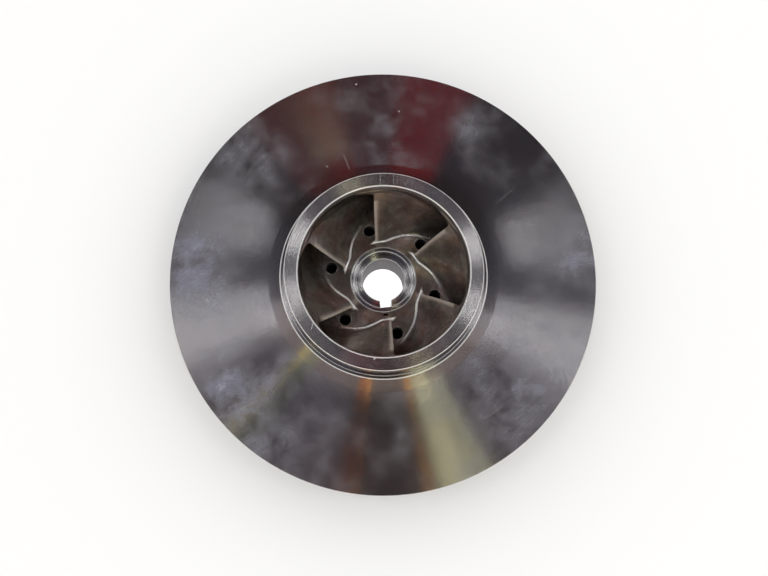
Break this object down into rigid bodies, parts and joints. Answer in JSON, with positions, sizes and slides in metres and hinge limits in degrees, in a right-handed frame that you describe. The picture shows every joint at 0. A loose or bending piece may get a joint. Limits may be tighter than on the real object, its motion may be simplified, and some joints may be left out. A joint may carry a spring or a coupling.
{
  "type": "pump impeller",
  "caption": "Closed radial pump impeller with a turned front shroud, a suction neck, twisted backward-swept vanes and a keyed hub.",
  "frame": {"origin": "on the rotation axis, at the hub's rear face, which is the lowest face", "axes": "+Z along the rotation axis, out of the suction eye; the keyway lies 6 degrees from -Y, towards +X"},
  "size_m": [0.219, 0.219, 0.064],
  "materials": {
    "turned_steel": "fine-turned stainless steel, dark and mirror-like with a faint cloudiness",
    "hub_steel": "bright turned rings round the bore, cast stainless steel around them",
    "cast_steel": "warm grey investment-cast stainless steel, slightly grainy"
  },
  "bodies": {
    "root": {"suction_neck": "turned_steel", "front_shroud": "turned_steel", "back_shroud": "turned_steel", "rear_wear_ring": "turned_steel", "hub": "hub_steel", "vane_1": "cast_steel", "vane_2": "cast_steel", "vane_3": "cast_steel", "vane_4": "cast_steel", "vane_5": "cast_steel", "vane_6": "cast_steel"}
  },
  "joints": []
}
